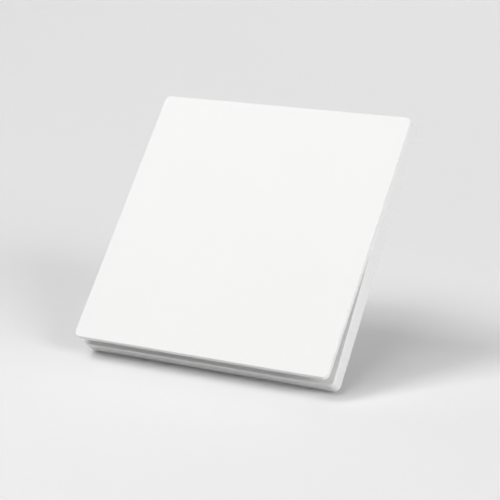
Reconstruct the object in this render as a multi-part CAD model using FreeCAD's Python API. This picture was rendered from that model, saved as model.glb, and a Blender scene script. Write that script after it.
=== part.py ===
import FreeCAD, Part
import math
import os

# Wireless wall switch with a rocker plate over a low square base, in millimetres.
# The switch stands as it does on a wall: +Z up, +X right, the rocker faces -Y.
# The origin is the centre of the back face, which lies on the wall at y = 0.
# A depth is a distance in front of the wall, so depth d lies at y = -d.

Vector = FreeCAD.Vector
ALONG_X = Vector(1, 0, 0)
TO_WALL = Vector(0, 1, 0)
TO_ROOM = Vector(0, -1, 0)

# Outer form
plate_width = 86.0
plate_height = 86.0
corner_radius = 1.8
rocker_thickness = 1.8
rocker_edge_radius = 0.2
rocker_back_bevel = 0.15
rocker_travel = 5.0
rocker_gap = 0.3
end_depth = 4.9
ridge_radius = 45.0

# Base moulding
land_width = 3.6
outer_wall = 1.3
inner_wall = 1.1
land_thickness = 1.4
deck_thickness = 1.5
post_root = 1.0
front_edge_radius = 0.4
back_edge_bevel = 0.1
least_corner = 0.3
groove_rib = 0.9
groove_rib_count = 5

# Rocker pivot
pivot_depth = 4.2
pivot_pin_radius = 1.2
pivot_clearance = 0.05
pivot_mouth = 2.0
pivot_block_height = 10.0
lug_thickness = 2.2
lug_radius = 2.0
lug_side_gap = 0.5
pin_end_gap = 0.3
socket_skin = 0.2

# Rocker underside
rib_thickness = 1.0
rib_depth = 1.6
rib_ring_inset = 4.8
rib_pitch = 12.0
cross_rib_height = 8.0
rib_well_gap = 1.2
rib_root = 0.5
boss_width = 6.0
boss_height = 2.4

# Mechanism well and its cover
well_width = 45.0
well_top = 17.2
well_bottom = -17.2
well_wall = 1.2
well_corner = 0.8
wall_corner = 2.0
well_floor = 1.2
cover_inside = 5.0
cover_thickness = 0.6
window_gap = 0.6
window_corner = 0.7
keeper_root = 0.1

# Wall fixing
screw_spacing = 60.3
slot_width = 4.4
slot_length = 8.0
slot_pad_width = 13.0
slot_pad_height = 11.0
slot_pad_rise = 0.5
slot_pad_corner = 2.0
tape_width = 60.0
tape_height = 14.0
tape_centre = 29.5
tape_thickness = 0.6
tape_gap = 0.15
tape_corner = 1.1

# Cover screws
screw_lug_gap = 0.1
screw_inset = 4.0
screw_boss_radius = 2.4
screw_radius = 0.8
screw_head_radius = 1.6
screw_head_height = 0.9
screw_length = 4.0
screw_end_gap = 0.3
screw_recess_length = 1.7
screw_recess_width = 0.4
screw_recess_depth = 0.6
screw_sunk = 0.1
screw_hole_gap = 0.15
thread_gap = 0.02

# Press lever
lever_pivot_z = 3.0
lever_pivot_depth = 3.2
lever_arm_width = 2.0
lever_arm_half_depth = 0.8
lever_side_gap = 0.6
lever_eye_radius = 1.2
trunnion_radius = 0.8
trunnion_clearance = 0.05
trunnion_end_gap = 0.3
press_z = -15.0
bar_half_height = 1.6
bar_back = 3.3
bar_front = 4.1
contact_gap = 0.08
stiffener_half_height = 0.6
stiffener_gap = 1.0

# Generator
generator_z = -4.0
generator_depth = 3.1
core_thickness = 1.0
core_leg_height = 2.4
core_leg_offset = 4.2
core_side_gap = 0.7
core_rest_inset = 0.3
core_corner = 0.8
core_tip_corner = 0.25
core_tip_reach = 5.6
yoke_width = 2.6
core_gap = 0.03
bobbin_yoke_gap = 0.4
bobbin_pole_gap = 2.0
bobbin_wall = 0.45
bobbin_core_gap = 0.04
bracket_length = 3.4
bracket_half_height = 1.6
bracket_rise = 1.3
rod_seat = 2.6
flange_thickness = 0.9
flange_cover_gap = 0.1
flange_half_height = 3.8
coil_half_height = 3.3
coil_half_depth = 1.55
coil_corner = 1.0
pole_side_room = 8.5
pole_length = 9.0
pole_half_height = 5.9
pole_thickness = 0.5
magnet_length = 4.0
magnet_height = 7.0
magnet_corner = 0.3
pole_corner = 0.4
holder_corner = 0.5
holder_lap = 0.4
holder_wall = 1.0
holder_cap = 1.8
holder_pin_length = 2.0
holder_post_gap = 0.5
holder_post_width = 1.7
holder_mouth = 1.4
rod_clearance = 0.05
rod_end_gap = 0.5
leaf_thickness = 0.3
leaf_width = 5.0
leaf_end = 1.1

# Circuit board
board_bottom = 4.8
board_top = 16.9
board_side_gap = 0.7
peg_inset = 1.6
peg_radius = 0.5
peg_shoulder_radius = 1.1
peg_rise = 0.4
peg_hole_gap = 0.05
board_corner = 0.6
board_back = 1.9
board_thickness = 0.8

# Return springs and soft stops
spring_x = 12.0
spring_width = 4.0
spring_strip = 0.3
spring_foot = 4.0
spring_root_gap = 1.0
spring_end_gap = 3.0
spring_bend = 1.5
spring_lip = 0.8
spring_lean = 0.1
spring_peg_radius = 0.6
spring_peg_gap = 0.05
spring_peg_rise = 0.4
stop_x = 24.0
stop_radius = 1.5
stop_cup_wall = 0.6
stop_sunk = 0.45
stop_rib_gap = 0.08
stop_height = 0.8

# Components on the board: the rectifier from mid-width, the rest from an edge, and how large
radio_x = 12.8
radio_z = 6.2
radio_size = 5.0
radio_rise = 0.9
crystal_x = 6.4
crystal_width = 3.2
crystal_height = 2.5
crystal_rise = 0.8
rectifier_x = 2.6
rectifier_z = 3.2
rectifier_width = 4.4
rectifier_height = 3.2
rectifier_rise = 1.6
rectifier_ear = 0.7
rectifier_ear_reach = 0.9
rectifier_ear_inset = 1.0
rectifier_ear_rise = 0.3
inductor_z = 8.8
inductor_size = 4.0
inductor_foot = 0.5
inductor_drum_radius = 1.6
inductor_rise = 1.8
tantalum_from_right = 4.9
tantalum_pitch = 5.0
tantalum_count = 2
tantalum_z = 5.2
tantalum_width = 4.3
tantalum_height = 7.3
tantalum_rise = 1.9
ceramic_x = 9.2
ceramic_z = 2.4
ceramic_pitch = 1.5
ceramic_count = 6
ceramic_width = 0.6
ceramic_height = 1.1
antenna_x = 4.2
antenna_height = 2.4
antenna_track = 0.5
antenna_rise = 0.3
antenna_turns = 8
antenna_edge = 1.0
ceramic_rise = 0.5
terminal_size = 0.5
terminal_overlap = 1.6

# Worked out from the sizes above
over = 1.0
half_width = plate_width / 2
half_height = plate_height / 2
half_travel = rocker_travel / 2
slope = math.tan(math.radians(half_travel))
ridge_depth = end_depth + half_height * slope
underside = pivot_depth + (ridge_depth - pivot_depth) * math.cos(math.radians(half_travel)) + rocker_gap
face_depth = underside + rocker_thickness
inner_half_width = half_width - land_width
inner_half_height = half_height - land_width
lever_swing = rocker_travel * press_z / (press_z - lever_pivot_z)
armature_swing = lever_swing * (press_z - lever_pivot_z) / (press_z - generator_z)
well_half = well_width / 2
well_middle = (well_top + well_bottom) / 2
well_half_height = (well_top - well_bottom) / 2
lever_outer = well_half - lever_side_gap
lever_inner = lever_outer - lever_arm_width
core_left = -lever_inner + core_side_gap
pole_right = lever_inner - pole_side_room
pole_left = pole_right - pole_length
bobbin_left = core_left + yoke_width + bobbin_yoke_gap
bobbin_right = pole_left - bobbin_pole_gap
core_right = bobbin_right + core_tip_reach
tube_z = core_leg_height / 2 + bobbin_core_gap + bobbin_wall
tube_d = core_thickness / 2 + bobbin_core_gap + bobbin_wall
core_reach = core_leg_offset + core_leg_height / 2
pole_gap = core_thickness + 2 * (core_reach * math.sin(math.radians(armature_swing / 2)) + core_gap)
armature_half = pole_gap / 2 + pole_thickness
cover_front = cover_inside + cover_thickness
screw_x = well_half + well_wall + screw_boss_radius + screw_lug_gap
screw_z = well_half_height + well_wall - screw_inset
board_half_width = well_half - board_side_gap
board_left = -board_half_width
board_front = board_back + board_thickness
spring_root = well_bottom - well_wall - spring_root_gap
spring_end = -(half_height - rib_ring_inset - rib_thickness - spring_end_gap)
leg_centre = generator_z + core_leg_offset


def block(left, right, bottom, top, back, front):
    """A box between two depths in front of the wall."""
    corner = Vector(left, -front, bottom)
    return Part.makeBox(right - left, front - back, top - bottom, corner)


def round_block(half_x, half_z, back, front, radius, centre_x=0.0, centre_z=0.0):
    """A box with its four upright corners rounded, seen from the front."""
    solid = block(centre_x - half_x, centre_x + half_x, centre_z - half_z, centre_z + half_z, back, front)
    upright = [edge for edge in solid.Edges if abs(edge.tangentAt(edge.FirstParameter).y) > 0.99]
    return solid.makeFillet(radius, upright)


def disc(radius, back, front, x, z):
    """A round pillar that stands out from the wall."""
    return Part.makeCylinder(radius, front - back, Vector(x, -back, z), TO_ROOM)


def shaft(radius, left, right, z, depth):
    """A round bar that runs from left to right."""
    return Part.makeCylinder(radius, right - left, Vector(left, -depth, z), ALONG_X)


def joined(solids):
    """One solid from pieces of one moulding."""
    whole = solids[0]
    if len(solids) > 1:
        whole = solids[0].multiFuse(solids[1:])
    return whole.removeSplitter()


def turned(solid, z, depth, degrees):
    """The same piece, turned about a left-to-right axis; plus brings the bottom to the wall."""
    copy = solid.copy()
    copy.rotate(Vector(0, -depth, z), ALONG_X, degrees)
    return copy


def ridged_block(half_x, half_z, depth_at_end, radius):
    """A low block whose front has a soft ridge at mid-height and falls away to top and bottom."""
    crown = depth_at_end + half_z * slope
    blend = ridge_radius * math.tan(math.radians(half_travel) / 2) * math.cos(math.radians(half_travel))
    top = ridge_radius * (1 / math.cos(math.radians(half_travel)) - 1)
    lower = Vector(-half_x, -(crown - blend * slope), -blend)
    middle = Vector(-half_x, -(crown - top), 0)
    upper = Vector(-half_x, -(crown - blend * slope), blend)
    foot = Vector(-half_x, 0, -half_z)
    lower_end = Vector(-half_x, -depth_at_end, -half_z)
    upper_end = Vector(-half_x, -depth_at_end, half_z)
    head = Vector(-half_x, 0, half_z)
    edges = [
        Part.LineSegment(foot, lower_end).toShape(),
        Part.LineSegment(lower_end, lower).toShape(),
        Part.Arc(lower, middle, upper).toShape(),
        Part.LineSegment(upper, upper_end).toShape(),
        Part.LineSegment(upper_end, head).toShape(),
        Part.LineSegment(head, foot).toShape(),
    ]
    solid = Part.Face(Part.Wire(edges)).extrude(Vector(2 * half_x, 0, 0))
    outline = round_block(half_x, half_z, -1.0, crown + 1.0, radius)
    return solid.common(outline)


def base_shell():
    """The square surround: outer wall, front land and deck, with a groove round the back."""
    body = ridged_block(half_width, half_height, end_depth, corner_radius)
    front = [e for e in body.Edges if on_outline(e) and e.BoundBox.YMax < -end_depth + 0.01]
    body = body.makeFillet(front_edge_radius, front)
    back = [e for e in body.Edges if on_outline(e) and e.BoundBox.YMin > -0.01]
    body = body.makeChamfer(back_edge_bevel, back)
    inner_corner = max(corner_radius - outer_wall, least_corner)
    body = body.cut(round_block(inner_half_width, inner_half_height, deck_thickness, ridge_depth + over,
                                inner_corner))
    return body.cut(back_groove())


def on_outline(edge):
    """True for an edge that runs round the outside of the square."""
    centre = edge.CenterOfMass
    flat = abs(edge.tangentAt(edge.FirstParameter).y) < 0.5
    reach_x = half_width - corner_radius - 0.1
    reach_z = half_height - corner_radius - 0.1
    return flat and (abs(centre.x) > reach_x or abs(centre.z) > reach_z)


def back_groove():
    """The moulding groove between the outer and the inner wall, crossed by small ribs."""
    outer_radius = max(corner_radius - outer_wall, least_corner)
    outside = ridged_block(half_width - outer_wall, half_height - outer_wall,
                           end_depth + outer_wall * slope - land_thickness, outer_radius)
    half_x = inner_half_width + inner_wall
    half_z = inner_half_height + inner_wall
    groove = outside.cut(round_block(half_x, half_z, -over, ridge_depth + over,
                                     max(outer_radius - groove_rib, least_corner)))
    step = 2 * inner_half_width / (groove_rib_count + 1)
    ribs = [block(-half_width, half_width, -pivot_block_height / 2, pivot_block_height / 2, 0, ridge_depth)]
    for number in range(1, groove_rib_count + 1):
        place = -inner_half_width + number * step
        low = place - groove_rib / 2
        high = place + groove_rib / 2
        ribs.append(block(low, high, -half_height, half_height, 0, ridge_depth))
        ribs.append(block(-half_width, half_width, low, high, 0, ridge_depth))
    for rib in ribs:
        groove = groove.cut(rib)
    return groove


def pivot_sockets():
    """Snap-in bearings for the rocker's pins, open to the front through a narrower mouth."""
    reach = half_width - outer_wall - socket_skin
    start = inner_half_width - over
    radius = pivot_pin_radius + pivot_clearance
    right = joined([
        shaft(radius, start, reach, 0, pivot_depth),
        block(start, reach, -pivot_mouth / 2, pivot_mouth / 2, pivot_depth, ridge_depth + over),
    ])
    return [right, right.mirror(Vector(0, 0, 0), ALONG_X)]


def mechanism_wall():
    """The wall round the mechanism, with bearing slots for the press lever."""
    outer = round_block(well_half + well_wall, well_half_height + well_wall, deck_thickness, cover_inside,
                        wall_corner, 0, well_middle)
    inner = round_block(well_half, well_half_height, 0, cover_inside + over, well_corner, 0, well_middle)
    wall = outer.cut(inner)
    radius = trunnion_radius + trunnion_clearance
    far = well_half + well_wall + over
    bearing = joined([
        shaft(radius, -far, far, lever_pivot_z, lever_pivot_depth),
        block(-far, far, lever_pivot_z - radius, lever_pivot_z + radius, lever_pivot_depth,
              cover_inside + over),
    ])
    return wall.cut(bearing)


def deck_posts():
    """Posts on the deck: under the core, for the armature, board pegs and the soft stops."""
    root = deck_thickness - post_root
    near = pole_right + holder_cap + holder_post_gap
    far = near + holder_post_width
    radius = trunnion_radius + trunnion_clearance
    post = block(near, far, generator_z - 2 * radius, generator_z + 2 * radius, root,
                 generator_depth + 1.5 * radius)
    bearing = joined([
        shaft(radius, near - over, far + over, generator_z, generator_depth),
        block(near - over, far + over, generator_z - holder_mouth / 2, generator_z + holder_mouth / 2,
              generator_depth, generator_depth + 2 * radius + over),
    ])
    core_back = generator_depth - core_thickness / 2
    low_leg = generator_z - core_leg_offset
    leg_rest = core_leg_height / 2 - core_rest_inset
    yoke_rest = yoke_width / 2 - core_rest_inset
    yoke_x = core_left + yoke_width / 2
    rest_x = bobbin_left + 2 * leg_rest
    posts = [
        post.cut(bearing),
        block(rest_x, rest_x + 2 * leg_rest, low_leg - leg_rest, low_leg + leg_rest, root, core_back),
        block(yoke_x - yoke_rest, yoke_x + yoke_rest, generator_z - yoke_rest, generator_z + yoke_rest,
              root, core_back),
    ]
    for x, z in peg_places():
        posts.append(disc(peg_shoulder_radius, root, board_back, x, z))
        posts.append(disc(peg_radius, root, board_front + peg_rise, x, z))
    for x in (-stop_x, stop_x):
        for z in (-stop_z(), stop_z()):
            cup = disc(stop_radius + stop_cup_wall, root, stop_face() - stop_sunk, x, z)
            posts.append(cup.cut(disc(stop_radius, stop_face() - stop_height, stop_face() + over, x, z)))
    for x in (-spring_x, spring_x):
        top = deck_thickness + spring_strip + spring_peg_rise
        posts.append(disc(spring_peg_radius, root, top, x, spring_root - spring_foot / 2))
    return posts


def peg_places():
    """The four pegs that locate the circuit board."""
    x = board_half_width - peg_inset
    return [(side * x, z) for side in (-1, 1) for z in (board_bottom + peg_inset, board_top - peg_inset)]


def stop_z():
    """Height of the soft stops: under the rocker's rib ring."""
    return half_height - rib_ring_inset - rib_thickness / 2


def stop_face():
    """Depth of a soft stop's face, just short of the rib ring at the end of its travel."""
    angle = math.radians(half_travel)
    rib_edge = underside - rib_depth - pivot_depth
    reach = stop_z() + rib_thickness / 2
    return pivot_depth + rib_edge * math.cos(angle) - reach * math.sin(angle) - stop_rib_gap


def screw_places():
    """The four corners where a screw holds the cover."""
    return [(x, z) for x in (-screw_x, screw_x) for z in (-screw_z, screw_z)]


def base_frame():
    """The base, one moulding."""
    body = base_shell()
    for socket in pivot_sockets():
        body = body.cut(socket)
    parts = [body, mechanism_wall()]
    for x in (-screw_spacing / 2, screw_spacing / 2):
        parts.append(round_block(slot_pad_width / 2, slot_pad_height / 2, deck_thickness - post_root,
                                 deck_thickness + slot_pad_rise, slot_pad_corner, x, 0))
    body = joined(parts)
    body = body.cut(round_block(well_half, well_half_height, well_floor, cover_inside, well_corner,
                                0, well_middle))
    body = joined([body] + deck_posts())
    for x in (-screw_spacing / 2, screw_spacing / 2):
        body = body.cut(slotted_hole(x))
    for z in (-tape_centre, tape_centre):
        body = body.cut(round_block(tape_width / 2 + tape_gap, tape_height / 2 + tape_gap, -over,
                                    tape_thickness, tape_corner + tape_gap, 0, z))
    for x, z in screw_places():
        hole = disc(screw_radius + screw_hole_gap, -over, deck_thickness + over, x, z)
        head = Part.makeCone(screw_head_radius + screw_hole_gap, screw_radius + screw_hole_gap,
                             screw_head_height, Vector(x, -screw_sunk, z), TO_ROOM)
        mouth = disc(screw_head_radius + screw_hole_gap, -over, screw_sunk, x, z)
        body = body.cut(hole.multiFuse([head, mouth]))
    return body


def slotted_hole(x):
    """A wall screw's hole, lengthened sideways so that the switch can be set level."""
    reach = (slot_length - slot_width) / 2
    front = deck_thickness + slot_pad_rise + over
    ends = [disc(slot_width / 2, -over, front, x + side * reach, 0) for side in (-1, 1)]
    return joined(ends + [block(x - reach, x + reach, -slot_width / 2, slot_width / 2, -over, front)])


def inner_cover():
    """The plate over the mechanism, on four screw bosses, with a window for the press boss."""
    pieces = [round_block(well_half + well_wall, well_half_height + well_wall, cover_inside, cover_front,
                          wall_corner, 0, well_middle)]
    for x, z in screw_places():
        pieces.append(disc(screw_boss_radius, deck_thickness, cover_front, x, z))
        inward = math.copysign(well_half, x)
        pieces.append(block(min(x, inward), max(x, inward), z - screw_boss_radius, z + screw_boss_radius,
                            cover_inside, cover_front))
    plate = joined(pieces)
    plate = plate.cut(round_block(boss_width / 2 + window_gap, boss_height / 2 + window_gap,
                                  cover_inside - over, cover_front + over, window_corner, 0, press_z))
    for x, z in screw_places():
        plate = plate.cut(disc(screw_radius + thread_gap, 0, screw_length + screw_end_gap, x, z))
    half = trunnion_radius - trunnion_clearance
    for side in (-1, 1):
        near = side * (well_half + trunnion_clearance)
        far = side * (well_half + well_wall - trunnion_clearance)
        keeper = block(min(near, far), max(near, far), lever_pivot_z - half, lever_pivot_z + half,
                       lever_pivot_depth + trunnion_radius + trunnion_clearance, cover_inside + keeper_root)
        plate = joined([plate, keeper])
    return plate


def rocker_plate():
    """The plain square front plate with its soft edge."""
    plate = round_block(half_width, half_height, underside, face_depth, corner_radius)
    front = [e for e in plate.Edges if on_outline(e) and e.BoundBox.YMax < -face_depth + 0.01]
    plate = plate.makeFillet(rocker_edge_radius, front)
    back = [e for e in plate.Edges if on_outline(e) and e.BoundBox.YMin > -underside - 0.01]
    return plate.makeChamfer(rocker_back_bevel, back)


def rib_ring():
    """Stiffening ribs under the rocker: a ring, and cross ribs clear of the mechanism."""
    half_x = half_width - rib_ring_inset
    half_z = half_height - rib_ring_inset
    low = underside - rib_depth
    ring = round_block(half_x, half_z, low, underside, rib_thickness + well_corner)
    ring = ring.cut(round_block(half_x - rib_thickness, half_z - rib_thickness, low - over,
                                underside + over, well_corner))
    ribs = [ring]
    half = rib_thickness / 2
    end_x = half_x - rib_root
    end_z = half_z - rib_root
    top_rib = well_top + well_wall + rib_well_gap
    bottom_rib = well_bottom - well_wall - rib_well_gap
    near_x = screw_x + screw_boss_radius + rib_well_gap
    count = int((half_x - rib_thickness) / rib_pitch + 0.5)
    for number in range(count):
        for x in (-(number + 0.5) * rib_pitch, (number + 0.5) * rib_pitch):
            ribs.append(block(x - half, x + half, top_rib, end_z, low, underside))
            ribs.append(block(x - half, x + half, -end_z, bottom_rib, low, underside))
    for z in (bottom_rib, top_rib):
        ribs.append(block(-end_x, end_x, z - half, z + half, low, underside))
    for z in (-cross_rib_height, cross_rib_height):
        ribs.append(block(near_x, end_x, z - half, z + half, low, underside))
        ribs.append(block(-end_x, -near_x, z - half, z + half, low, underside))
    return ribs


def rocker_lugs():
    """The two pivot lugs with their pins, and the press boss with its rounded tip."""
    face = inner_half_width - lug_side_gap
    pin_end = half_width - outer_wall - socket_skin - pin_end_gap
    root = underside + rocker_thickness / 2
    lug = joined([
        shaft(lug_radius, face - lug_thickness, face, 0, pivot_depth),
        block(face - lug_thickness, face, -lug_radius, lug_radius, pivot_depth, root),
        shaft(pivot_pin_radius, face - lug_thickness / 2, pin_end, 0, pivot_depth),
    ])
    tip = bar_front + contact_gap
    tip_radius = boss_height / 2
    boss = joined([
        shaft(tip_radius, -boss_width / 2, boss_width / 2, press_z, tip + tip_radius),
        block(-boss_width / 2, boss_width / 2, press_z - tip_radius, press_z + tip_radius,
              tip + tip_radius, root),
    ])
    return [lug, lug.mirror(Vector(0, 0, 0), ALONG_X), boss]


def rocker():
    """The rocker, one moulding, at rest with its bottom standing off the base."""
    solid = joined([rocker_plate()] + rib_ring() + rocker_lugs())
    return turned(solid, 0, pivot_depth, -half_travel)


def press_lever():
    """The U-shaped lever that the rocker's boss pushes."""
    end = press_z - bar_half_height
    back = lever_pivot_depth - lever_arm_half_depth
    front = lever_pivot_depth + lever_arm_half_depth
    pieces = [block(-lever_outer, lever_outer, end, press_z + bar_half_height, bar_back, bar_front)]
    trunnion_end = well_half + well_wall - trunnion_end_gap
    for side in (-1, 1):
        left = min(side * lever_inner, side * lever_outer)
        right = max(side * lever_inner, side * lever_outer)
        middle = (left + right) / 2
        pieces.append(block(left, right, end, lever_pivot_z, back, front))
        pieces.append(shaft(lever_eye_radius, left, right, lever_pivot_z, lever_pivot_depth))
        pieces.append(shaft(trunnion_radius, min(middle, side * trunnion_end),
                            max(middle, side * trunnion_end), lever_pivot_z, lever_pivot_depth))
    low = press_z - stiffener_half_height
    high = press_z + stiffener_half_height
    pieces.append(block(-lever_outer, pole_left - stiffener_gap, low, high, back, bar_back))
    pieces.append(block(pole_right + holder_cap + stiffener_gap, lever_outer, low, high, back, bar_back))
    return turned(joined(pieces), lever_pivot_z, lever_pivot_depth, -lever_swing / 2)


def at_rest(solid):
    """A piece of the armature, tilted as the leaf spring holds it at rest."""
    return turned(solid, generator_z, generator_depth, -armature_swing / 2)


def iron_core():
    """The U-shaped core, stamped from soft iron sheet."""
    back = generator_depth - core_thickness / 2
    front = generator_depth + core_thickness / 2
    sheet = block(core_left, core_right, generator_z - core_reach, generator_z + core_reach, back, front)
    slot_half = core_leg_offset - core_leg_height / 2
    core = sheet.cut(block(core_left + yoke_width, core_right + over, generator_z - slot_half,
                           generator_z + slot_half, back - over, front + over))
    core = core.makeFillet(core_corner, upright_edges(core, core_left))
    return core.makeFillet(core_tip_corner, upright_edges(core, core_right))


def upright_edges(solid, x):
    """The edges of a stamped piece that stand out from the wall at one place across."""
    upright = [e for e in solid.Edges if abs(e.tangentAt(e.FirstParameter).y) > 0.99]
    return [e for e in upright if abs(e.CenterOfMass.x - x) < core_tip_corner]


def coil_bobbin():
    """The spool on the core's upper leg, with the bracket that holds the pivot rod."""
    hole_z = tube_z - bobbin_wall
    hole_d = tube_d - bobbin_wall
    flange_front = cover_inside - flange_cover_gap
    pieces = [block(bobbin_left, bobbin_right, leg_centre - tube_z, leg_centre + tube_z,
                    generator_depth - tube_d, generator_depth + tube_d)]
    for left in (bobbin_left, bobbin_right - flange_thickness):
        pieces.append(block(left, left + flange_thickness, leg_centre - flange_half_height,
                            leg_centre + flange_half_height, well_floor, flange_front))
    low = generator_z - bracket_half_height
    high = leg_centre - coil_half_height - flange_cover_gap
    front = generator_depth + bracket_rise
    pieces.append(block(bobbin_right - bracket_length, bobbin_right, low, high, well_floor, front))
    pieces.append(block(bobbin_right - flange_thickness, bobbin_right, low, leg_centre, well_floor, front))
    bobbin = joined(pieces)
    bobbin = bobbin.cut(block(bobbin_left - over, bobbin_right + over, leg_centre - hole_z,
                              leg_centre + hole_z, generator_depth - hole_d, generator_depth + hole_d))
    return bobbin.cut(shaft(rod_radius(), bobbin_right - rod_seat, bobbin_right + over, generator_z,
                            generator_depth))


def rod_radius():
    """The pivot rod fills the slot between the pole plates but for its running clearance."""
    return pole_gap / 2 - rod_clearance


def coil_winding():
    """The wound copper, a soft-cornered sleeve between the bobbin's flanges."""
    left = bobbin_left + flange_thickness
    right = bobbin_right - flange_thickness
    sleeve = block(left, right, leg_centre - coil_half_height, leg_centre + coil_half_height,
                   generator_depth - coil_half_depth, generator_depth + coil_half_depth)
    long_edges = [e for e in sleeve.Edges if abs(e.tangentAt(e.FirstParameter).x) > 0.99]
    sleeve = sleeve.makeFillet(coil_corner, long_edges)
    return sleeve.cut(block(left - over, right + over, leg_centre - tube_z, leg_centre + tube_z,
                            generator_depth - tube_d, generator_depth + tube_d))


def coil_terminals():
    """Two bent pins that carry the coil's ends from the bobbin to the board."""
    half = terminal_size / 2
    root = leg_centre + flange_half_height
    pins = []
    for x in (bobbin_left + flange_thickness / 2, bobbin_right - flange_thickness / 2):
        pins.append(block(x - half, x + half, root, board_bottom + terminal_overlap, board_front,
                          board_front + terminal_size))
    return Part.makeCompound(pins)


def magnet():
    """The flat magnet between the pole plates."""
    half = magnet_height / 2
    solid = round_block(magnet_length / 2, half, generator_depth - pole_gap / 2,
                        generator_depth + pole_gap / 2, magnet_corner, pole_right - magnet_length / 2,
                        generator_z)
    return at_rest(solid)


def pole_plate(side):
    """One pole plate, in front of the core's tips or behind them."""
    near = generator_depth + side * pole_gap / 2
    far = near + side * pole_thickness
    half_x = (pole_right - pole_left) / 2
    solid = round_block(half_x, pole_half_height, min(near, far), max(near, far), pole_corner,
                        pole_left + half_x, generator_z)
    return at_rest(solid)


def magnet_holder():
    """The carrier that clasps the plates and the magnet, with its trunnion."""
    right = pole_right + holder_cap
    half = pole_half_height + holder_wall
    start = pole_right - magnet_length - holder_lap
    body = round_block((right - start) / 2, half, generator_depth - armature_half,
                       generator_depth + armature_half, holder_corner, (right + start) / 2, generator_z)
    body = body.cut(block(start - over, pole_right, generator_z - pole_half_height,
                          generator_z + pole_half_height, 0, cover_inside))
    pin = shaft(trunnion_radius, right - holder_cap / 2, right + holder_pin_length, generator_z,
                generator_depth)
    return at_rest(joined([body, pin]).cut(leaf_strip()))


def leaf_strip():
    """The leaf spring's strip before it is tilted."""
    root = generator_z - pole_half_height
    left = pole_right - magnet_length
    return block(left, left + leaf_width, press_z - leaf_end, root, generator_depth - leaf_thickness / 2,
                 generator_depth + leaf_thickness / 2)


def leaf_spring():
    """The steel strip that the lever bends to snap the armature over."""
    return at_rest(leaf_strip())


def pivot_rod():
    """The brass rod between the pole plates."""
    end = pole_right - magnet_length - rod_end_gap
    return shaft(rod_radius(), bobbin_right - rod_seat, end, generator_z, generator_depth)


def circuit_board():
    """The board over the generator, located on four pegs."""
    half_z = (board_top - board_bottom) / 2
    board = round_block(board_half_width, half_z, board_back, board_front, board_corner, 0,
                        board_bottom + half_z)
    for x, z in peg_places():
        board = board.cut(disc(peg_radius + peg_hole_gap, 0, board_front + over, x, z))
    return board


def chip(x, up, width, height, rise):
    """A component that lies on the board, its middle at one height above the board's bottom edge."""
    z = board_bottom + up
    return block(x - width / 2, x + width / 2, z - height / 2, z + height / 2, board_front,
                 board_front + rise)


def storage_capacitors():
    """Two flat tantalum capacitors that hold the pulse."""
    right = board_half_width - tantalum_from_right
    return Part.makeCompound([chip(right - tantalum_pitch * number, tantalum_z, tantalum_width,
                                   tantalum_height, tantalum_rise) for number in range(tantalum_count)])


def chip_capacitors():
    """A row of small ceramic capacitors by the radio chip."""
    left = board_left + ceramic_x
    return Part.makeCompound([chip(left + ceramic_pitch * number, ceramic_z, ceramic_width,
                                   ceramic_height, ceramic_rise) for number in range(ceramic_count)])


def antenna():
    """A meander stamped from tinned sheet, soldered flat near the board's top edge."""
    front = board_front + antenna_rise
    left = board_left + antenna_x
    top = board_top - antenna_edge
    low = top - antenna_height
    pieces = []
    for turn in range(antenna_turns):
        x = left + turn * 2 * antenna_track
        pieces.append(block(x, x + antenna_track, low, top, board_front, front))
        edge = top - antenna_track if turn % 2 == 0 else low
        if turn < antenna_turns - 1:
            pieces.append(block(x, x + 3 * antenna_track, edge, edge + antenna_track, board_front, front))
    return joined(pieces)


def rectifier():
    """The moulded bridge with two soldered ears each side."""
    pieces = [chip(rectifier_x, rectifier_z, rectifier_width, rectifier_height, rectifier_rise)]
    for side in (-1, 1):
        x = rectifier_x + side * (rectifier_width / 2 - rectifier_ear_inset)
        pieces.append(chip(x, rectifier_z, rectifier_ear, rectifier_height + 2 * rectifier_ear_reach,
                           rectifier_ear_rise))
    return joined(pieces)


def inductor():
    """A drum inductor on the board."""
    foot = chip(rectifier_x, inductor_z, inductor_size, inductor_size, inductor_foot)
    drum = disc(inductor_drum_radius, board_front + inductor_foot / 2, board_front + inductor_rise,
                rectifier_x, board_bottom + inductor_z)
    return joined([foot, drum])


def spring_path(x):
    """The middle line of a return spring: flat foot, bend, leaning leg and a lip along the rocker."""
    lean = math.radians(half_travel)
    under = pivot_depth + (underside - pivot_depth - spring_end * math.sin(lean)) / math.cos(lean)
    start = deck_thickness + spring_strip / 2
    rise = under - spring_lean - spring_strip / 2 - start
    bend_z = spring_root - spring_foot
    run = bend_z - spring_end
    arcs = spring_bend + spring_lip
    angle = math.acos(-arcs / math.hypot(rise - arcs, run)) - math.atan2(run, rise - arcs)

    def on_arc(radius, turn):
        return radius * math.sin(turn), radius * (1 - math.cos(turn))

    def place(along, up):
        return Vector(x, -(start + up), bend_z - along)

    half_bend = on_arc(spring_bend, angle / 2)
    bend = on_arc(spring_bend, angle)
    lip = on_arc(spring_lip, angle)
    half_lip = on_arc(spring_lip, angle / 2)
    leg_end = (run - lip[0], rise - lip[1])
    return Part.Wire([
        Part.LineSegment(Vector(x, -start, spring_root), place(0, 0)).toShape(),
        Part.Arc(place(0, 0), place(*half_bend), place(*bend)).toShape(),
        Part.LineSegment(place(*bend), place(*leg_end)).toShape(),
        Part.Arc(place(*leg_end), place(run - half_lip[0], rise - half_lip[1]), place(run, rise)).toShape(),
    ])


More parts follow.
